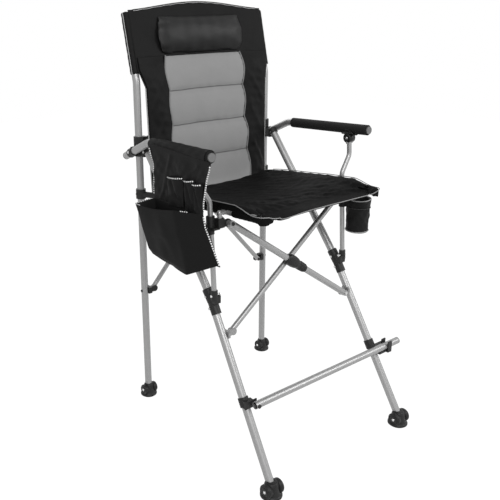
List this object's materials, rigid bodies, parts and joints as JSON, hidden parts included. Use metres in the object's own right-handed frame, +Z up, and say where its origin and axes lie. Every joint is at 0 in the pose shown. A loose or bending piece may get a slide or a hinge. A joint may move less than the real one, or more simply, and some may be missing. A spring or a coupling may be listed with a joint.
{
  "type": "folding chair",
  "caption": "Tall folding director chair with padded back and head pillow, foam arms, swing-up footrest, side bag and cup holder.",
  "frame": {"origin": "on the floor, below the middle of the bounding box, in the chair's left-right middle plane", "axes": "+Z up, -Y is the way the sitter faces, +X is towards the cup holder"},
  "size_m": [0.784, 0.7906, 1.36],
  "materials": {
    "steel_tube": "satin",
    "steel_plate": "satin",
    "rivet_steel": "polished",
    "black_plastic": "matte",
    "gray_plastic": "matte",
    "rubber": "matte",
    "foam": "matte",
    "black_cloth": "woven",
    "gray_cloth": "woven"
  },
  "bodies": {
    "left_frame": {"rear_post_left": "steel_tube", "tube_plugs_left": "gray_plastic", "rear_foot_left": "rubber", "front_foot_left": "rubber", "upper_leg_left": "steel_tube", "front_leg_left": "steel_tube", "leg_clamp_left": "black_plastic", "clamp_rivets_left": "rivet_steel", "arm_post_left": "steel_tube", "arm_tube_left": "steel_tube", "arm_pad_left": "foam", "arm_bracket_left": "black_plastic", "arm_ear_left": "black_plastic", "arm_rivets_left": "rivet_steel", "back_bracket_left": "black_plastic", "front_bracket_left": "steel_plate", "seat_collar_left": "black_plastic", "seat_cradle_left": "black_plastic", "footrest_bracket": "black_plastic", "side_bag": "black_cloth", "back_panel": "black_cloth", "back_cushion": "gray_cloth", "head_pillow": "black_cloth"},
    "right_frame": {"rear_post_right": "steel_tube", "tube_plugs_right": "gray_plastic", "rear_foot_right": "rubber", "front_foot_right": "rubber", "upper_leg_right": "steel_tube", "front_leg_right": "steel_tube", "leg_clamp_right": "black_plastic", "clamp_rivets_right": "rivet_steel", "arm_post_right": "steel_tube", "arm_tube_right": "steel_tube", "arm_pad_right": "foam", "arm_bracket_right": "black_plastic", "arm_ear_right": "black_plastic", "arm_rivets_right": "rivet_steel", "back_bracket_right": "black_plastic", "front_bracket_right": "steel_plate", "seat_collar_right": "black_plastic", "seat_cradle_right": "black_plastic", "footrest_clip": "black_plastic", "cup_holder": "black_cloth"},
    "back_x_a": {"back_x_tube_a": "steel_tube"},
    "back_x_b": {"back_x_tube_b": "steel_tube", "back_x_rivet": "rivet_steel"},
    "back_collar_left": {"back_collar_left": "black_plastic"},
    "back_collar_right": {"back_collar_right": "black_plastic"},
    "front_x_a": {"front_x_thin": "steel_tube"},
    "front_x_b": {"front_x_wide": "steel_tube", "front_x_hub": "black_plastic", "front_x_rivet": "rivet_steel"},
    "rail_left": {"seat_rail_left": "steel_tube", "rail_carrier_left": "black_plastic", "seat_pad": "black_cloth"},
    "rail_right": {"seat_rail_right": "steel_tube", "rail_carrier_right": "black_plastic"},
    "footrest": {"footrest_bar": "steel_tube", "footrest_plugs": "gray_plastic"}
  },
  "joints": [
    {"name": "fold", "type": "hinge", "parent": "left_frame", "child": "back_x_a", "pos_m": [-0.237, 0.311, 0.405], "axis": [0, -0.9998, 0.0175], "range_deg": [0, 31.4], "deforming": ["seat_pad", "back_panel", "back_cushion", "head_pillow"]},
    {"name": "back_centre", "type": "hinge", "parent": "back_x_a", "child": "back_x_b", "pos_m": [0, 0.3156, 0.66846], "axis": [0, -0.9998, 0.0175], "range_deg": [-62.8, 0]},
    {"name": "collar_pivot_left", "type": "hinge", "parent": "back_x_b", "child": "back_collar_left", "pos_m": [-0.237, 0.3202, 0.93192], "axis": [0, -0.9998, 0.0175], "range_deg": [0, 31.4]},
    {"name": "frame_pivot_right", "type": "hinge", "parent": "back_x_b", "child": "right_frame", "pos_m": [0.237, 0.311, 0.405], "axis": [0, -0.9998, 0.0175], "range_deg": [0, 31.4]},
    {"name": "collar_pivot_right", "type": "hinge", "parent": "back_x_a", "child": "back_collar_right", "pos_m": [0.237, 0.3202, 0.93192], "axis": [0, -0.9998, 0.0175], "range_deg": [-31.4, 0]},
    {"name": "front_pivot_left", "type": "hinge", "parent": "left_frame", "child": "front_x_a", "pos_m": [-0.24, -0.123, 0.413], "axis": [0, -0.9968, 0.0802], "range_deg": [0, 41.39]},
    {"name": "front_centre", "type": "hinge", "parent": "front_x_a", "child": "front_x_b", "pos_m": [0, -0.10941, 0.58195], "axis": [0, -0.9968, 0.0802], "range_deg": [-82.78, 0]},
    {"name": "rail_pivot_left", "type": "hinge", "parent": "front_x_b", "child": "rail_left", "pos_m": [-0.24, -0.09581, 0.75091], "axis": [0, -0.9968, 0.0802], "range_deg": [0, 41.39]},
    {"name": "rail_pivot_right", "type": "hinge", "parent": "front_x_a", "child": "rail_right", "pos_m": [0.24, -0.09581, 0.75091], "axis": [0, -0.9968, 0.0802], "range_deg": [-41.39, 0]},
    {"name": "footrest_swing", "type": "hinge", "parent": "left_frame", "child": "footrest", "pos_m": [-0.264, -0.263, 0.24], "axis": [0, -1, 0], "range_deg": [0, 90]}
  ],
  "couplings": [
    {"joint": "back_centre", "follows": "fold", "ratio": -2},
    {"joint": "collar_pivot_left", "follows": "fold", "ratio": 1},
    {"joint": "frame_pivot_right", "follows": "fold", "ratio": 1},
    {"joint": "collar_pivot_right", "follows": "fold", "ratio": -1},
    {"joint": "front_pivot_left", "follows": "fold", "ratio": 1.318},
    {"joint": "front_centre", "follows": "fold", "ratio": -2.636},
    {"joint": "rail_pivot_left", "follows": "fold", "ratio": 1.318},
    {"joint": "rail_pivot_right", "follows": "fold", "ratio": -1.318}
  ]
}
